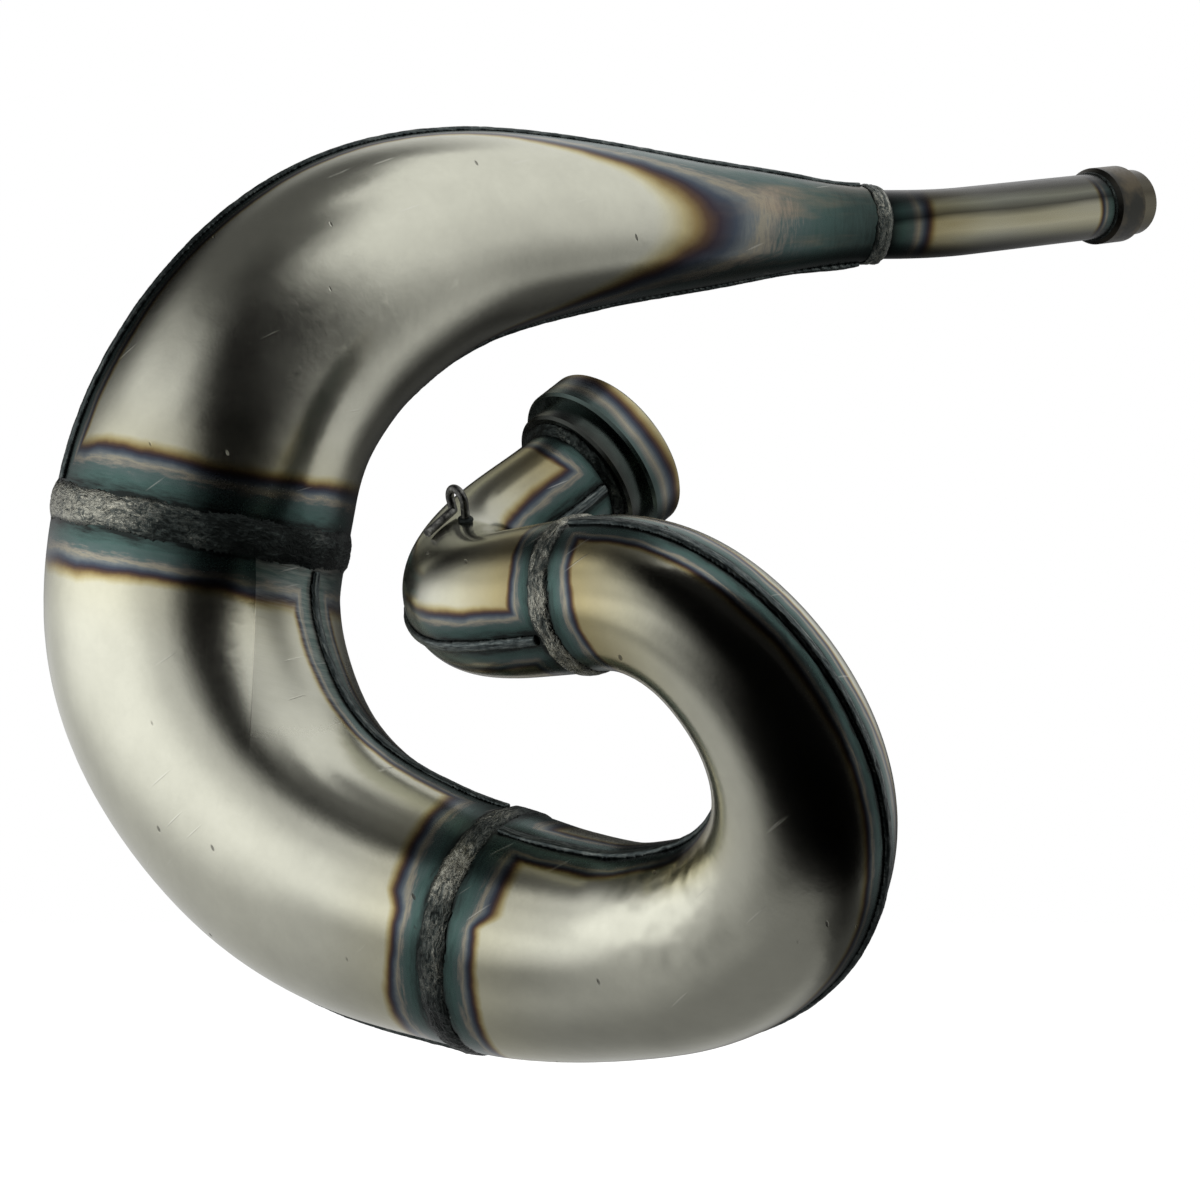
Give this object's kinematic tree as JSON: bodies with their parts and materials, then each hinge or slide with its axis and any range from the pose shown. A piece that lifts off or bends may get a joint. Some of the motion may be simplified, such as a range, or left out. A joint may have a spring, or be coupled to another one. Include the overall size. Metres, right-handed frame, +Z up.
{
  "type": "exhaust pipe",
  "caption": "Two-stroke expansion chamber exhaust pipe: inlet collar, bent header, diffuser, belly and rear cone in welded half shells, with an outlet tube.",
  "frame": {"origin": "middle of the inlet collar's mouth, on the bore's axis", "axes": "+Z up and +X to the right as the pipe is shown hanging, with the viewer on the -Y side"},
  "size_m": [0.4506, 0.4296, 0.3503],
  "materials": {
    "pressed_steel": "raw pressed steel, satin, with heat tint beside the welds",
    "seam_weld": "narrow dark weld bead along the pressed edges",
    "weld_bead": "rough grey weld bead",
    "heat_tinted_steel": "turned steel with brown and blue heat tint",
    "steel_wire": "bright drawn wire"
  },
  "bodies": {
    "root": {"header_shell_upper": "pressed_steel", "header_shell_lower": "pressed_steel", "diffuser_shell_upper": "pressed_steel", "diffuser_shell_lower": "pressed_steel", "belly_shell_upper": "pressed_steel", "belly_shell_lower": "pressed_steel", "rear_cone_shell_upper": "pressed_steel", "rear_cone_shell_lower": "pressed_steel", "seam_weld_header_inner": "seam_weld", "seam_weld_header_outer": "seam_weld", "seam_weld_diffuser_inner": "seam_weld", "seam_weld_diffuser_outer": "seam_weld", "seam_weld_belly_inner": "seam_weld", "seam_weld_belly_outer": "seam_weld", "seam_weld_rear_cone_inner": "seam_weld", "seam_weld_rear_cone_outer": "seam_weld", "ring_weld_inlet": "weld_bead", "ring_weld_header": "weld_bead", "ring_weld_belly_front": "weld_bead", "ring_weld_belly_rear": "weld_bead", "ring_weld_outlet": "weld_bead", "ring_weld_end_collar": "weld_bead", "spring_hook_weld": "weld_bead", "inlet_collar": "heat_tinted_steel", "outlet_tube": "heat_tinted_steel", "outlet_end_collar": "heat_tinted_steel", "spring_hook": "steel_wire"}
  },
  "joints": []
}
